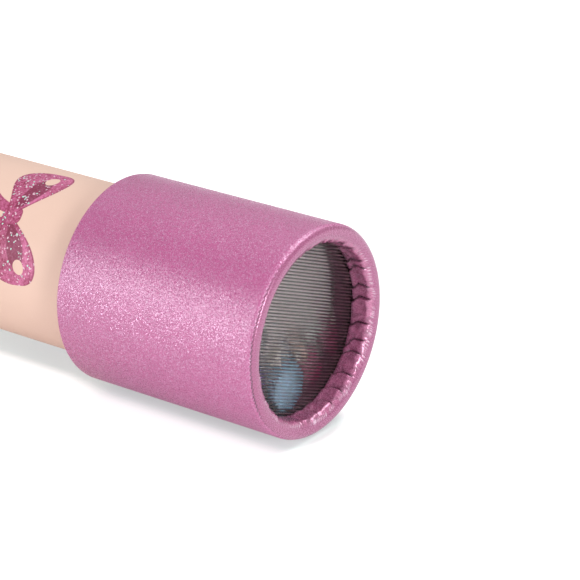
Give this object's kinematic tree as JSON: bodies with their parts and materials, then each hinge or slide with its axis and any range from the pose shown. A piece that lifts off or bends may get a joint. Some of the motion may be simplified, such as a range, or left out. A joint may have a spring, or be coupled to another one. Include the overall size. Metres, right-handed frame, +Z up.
{
  "type": "toy kaleidoscope",
  "caption": "Card-tube toy kaleidoscope with inner mirrors and a glitter-paper cap that turns to tumble coloured pieces behind a ribbed window.",
  "frame": {"origin": "on the surface it lies on, under the middle of its length", "axes": "+X along the tube towards the turning cap, +Z up from the surface it lies on"},
  "size_m": [0.2, 0.057, 0.057],
  "materials": {
    "card": "matt grey-brown card",
    "glitter_paper": "pink paper with fine glitter",
    "printed_paper": "satin printed paper",
    "clear_plastic": "polished, clear",
    "ribbed_plastic": "clear sheet with moulded ribs",
    "white_plastic": "smooth moulded",
    "mirror_strip": "polished",
    "tape": "satin tape",
    "blue_plastic": "translucent",
    "magenta_plastic": "translucent",
    "violet_plastic": "pearly",
    "pink_plastic": "translucent",
    "rose_plastic": "translucent",
    "amber_plastic": "translucent",
    "green_plastic": "translucent",
    "peach_plastic": "pearly",
    "clear_bead_plastic": "clear",
    "seed_bead_plastic": "pearly"
  },
  "bodies": {
    "body": {"body_tube": "card", "printed_wrap": "printed_paper", "stop_collar": "card", "front_window": "clear_plastic", "mirror_bottom": "mirror_strip", "mirror_right": "mirror_strip", "mirror_left": "mirror_strip", "rear_centring_plate": "card", "front_centring_plate": "card", "mirror_tapes": "tape", "eye_ring": "card", "eye_rim_ring": "card", "eye_ring_liner": "card", "eye_ring_wrap": "glitter_paper", "eye_disc_facing": "glitter_paper", "eye_disc": "card", "eye_window": "clear_plastic"},
    "cap": {"cap_sleeve": "card", "cap_rim_ring": "card", "cap_wrap": "glitter_paper", "rear_guide_ring": "card", "front_guide_ring": "card", "cell_rear_ring": "card", "inner_window": "clear_plastic", "cell_spacer_ring": "white_plastic", "ribbed_window": "ribbed_plastic"},
    "loose_pieces": {"blue_octagon": "blue_plastic", "magenta_gem": "magenta_plastic", "violet_sequin": "violet_plastic", "pink_heart": "pink_plastic", "rose_star": "rose_plastic", "amber_triangle": "amber_plastic", "green_tube_bead": "green_plastic", "peach_bead": "peach_plastic", "clear_ring_bead": "clear_bead_plastic", "seed_beads": "seed_bead_plastic"}
  },
  "joints": [
    {"name": "cap_turn", "type": "hinge", "parent": "body", "child": "cap", "pos_m": [0, 0, 0.0285], "axis": [1, 0, 0], "continuous": true},
    {"name": "loose_tumble", "type": "hinge", "parent": "body", "child": "loose_pieces", "pos_m": [0, 0, 0.0285], "axis": [1, 0, 0], "continuous": true}
  ]
}
